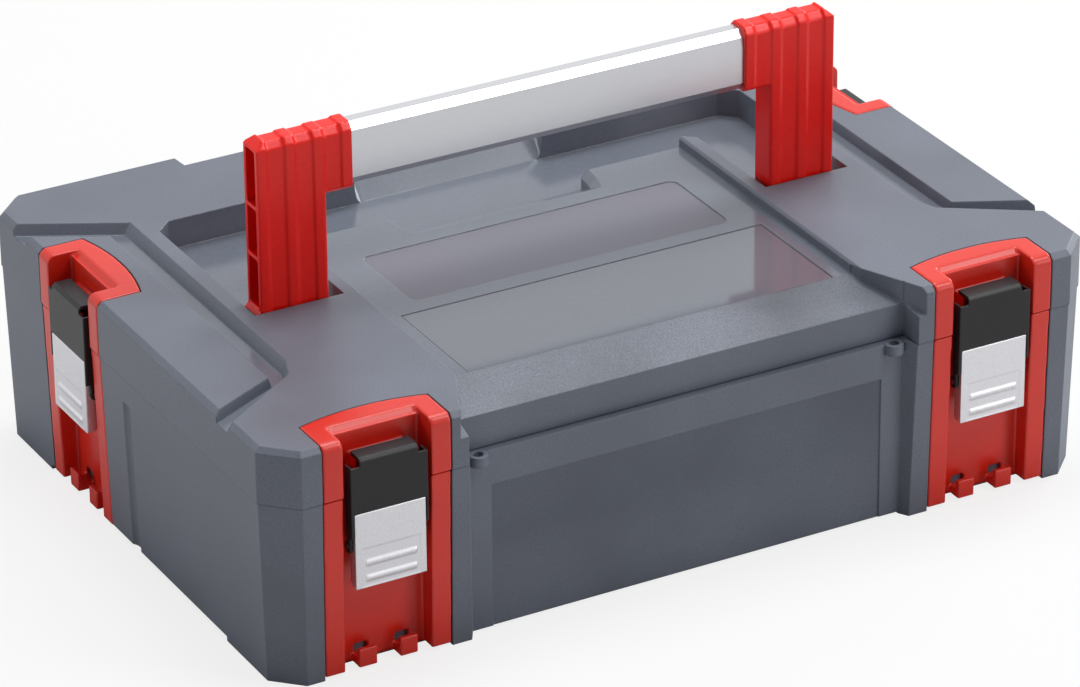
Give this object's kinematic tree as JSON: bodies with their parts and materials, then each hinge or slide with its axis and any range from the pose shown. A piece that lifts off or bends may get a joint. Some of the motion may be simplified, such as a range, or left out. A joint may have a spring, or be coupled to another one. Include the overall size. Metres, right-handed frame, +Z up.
{
  "type": "tool case",
  "caption": "Flat hard plastic tool case with hinged lid, over-centre draw latches, red latch bezels and a fold-down carrying handle with aluminium bar.",
  "frame": {"origin": "centre of the footprint on the floor, under the middle of the overall box", "axes": "+X to the right along the latch front, +Y to the hinged rear, +Z up"},
  "size_m": [0.4482, 0.3152, 0.2095],
  "materials": {
    "grey_plastic": "fine grained moulded polypropylene",
    "red_plastic": "satin moulded",
    "black_steel": "satin black coated sheet",
    "lever_steel": "satin sheet",
    "pin_steel": "bright drawn",
    "bar_aluminium": "satin anodised extrusion"
  },
  "bodies": {
    "base": {"base_shell": "grey_plastic", "seal_eyes": "grey_plastic", "latch_channel_fl": "red_plastic", "latch_channel_fr": "red_plastic", "latch_channel_sl": "red_plastic", "latch_channel_sr": "red_plastic", "lever_pins": "pin_steel", "hinge_pins": "pin_steel"},
    "lid": {"lid_shell": "grey_plastic", "latch_bezel_fl": "red_plastic", "latch_bezel_fr": "red_plastic", "latch_bezel_sl": "red_plastic", "latch_bezel_sr": "red_plastic", "handle_pivot_pins": "pin_steel"},
    "handle": {"handle_bar": "bar_aluminium", "handle_upright_left": "red_plastic", "handle_upright_right": "red_plastic"},
    "lever_fl": {"latch_lever_fl": "lever_steel", "hook_pin_fl": "pin_steel"},
    "hook_fl": {"latch_hook_fl": "black_steel"},
    "lever_fr": {"latch_lever_fr": "lever_steel", "hook_pin_fr": "pin_steel"},
    "hook_fr": {"latch_hook_fr": "black_steel"},
    "lever_sl": {"latch_lever_sl": "lever_steel", "hook_pin_sl": "pin_steel"},
    "hook_sl": {"latch_hook_sl": "black_steel"},
    "lever_sr": {"latch_lever_sr": "lever_steel", "hook_pin_sr": "pin_steel"},
    "hook_sr": {"latch_hook_sr": "black_steel"}
  },
  "joints": [
    {"name": "lid_hinge", "type": "hinge", "parent": "base", "child": "lid", "pos_m": [0, 0.1536, 0.0935], "axis": [-1, 0, 0], "range_deg": [0, 100]},
    {"name": "handle_fold", "type": "hinge", "parent": "lid", "child": "handle", "pos_m": [0, -0.0115, 0.1135], "axis": [-1, 0, 0], "range_deg": [0, 90]},
    {"name": "lever_fl_turn", "type": "hinge", "parent": "base", "child": "lever_fl", "pos_m": [-0.163, -0.1532, 0.0805], "axis": [-1, 0, 0], "range_deg": [0, 120]},
    {"name": "hook_fl_turn", "type": "hinge", "parent": "lever_fl", "child": "hook_fl", "pos_m": [-0.163, -0.152, 0.0665], "axis": [-1, 0, 0], "range_deg": [-138, 0]},
    {"name": "lever_fr_turn", "type": "hinge", "parent": "base", "child": "lever_fr", "pos_m": [0.163, -0.1532, 0.0805], "axis": [-1, 0, 0], "range_deg": [0, 120]},
    {"name": "hook_fr_turn", "type": "hinge", "parent": "lever_fr", "child": "hook_fr", "pos_m": [0.163, -0.152, 0.0665], "axis": [-1, 0, 0], "range_deg": [-138, 0]},
    {"name": "lever_sl_turn", "type": "hinge", "parent": "base", "child": "lever_sl", "pos_m": [-0.2197, 0.0605, 0.0805], "axis": [0, 1, 0], "range_deg": [0, 120]},
    {"name": "hook_sl_turn", "type": "hinge", "parent": "lever_sl", "child": "hook_sl", "pos_m": [-0.2185, 0.0605, 0.0665], "axis": [0, 1, 0], "range_deg": [-138, 0]},
    {"name": "lever_sr_turn", "type": "hinge", "parent": "base", "child": "lever_sr", "pos_m": [0.2197, 0.0605, 0.0805], "axis": [0, -1, 0], "range_deg": [0, 120]},
    {"name": "hook_sr_turn", "type": "hinge", "parent": "lever_sr", "child": "hook_sr", "pos_m": [0.2185, 0.0605, 0.0665], "axis": [0, -1, 0], "range_deg": [-138, 0]}
  ],
  "couplings": [
    {"joint": "hook_fl_turn", "follows": "lever_fl_turn", "ratio": -1.15},
    {"joint": "hook_fr_turn", "follows": "lever_fr_turn", "ratio": -1.15},
    {"joint": "hook_sl_turn", "follows": "lever_sl_turn", "ratio": -1.15},
    {"joint": "hook_sr_turn", "follows": "lever_sr_turn", "ratio": -1.15}
  ]
}
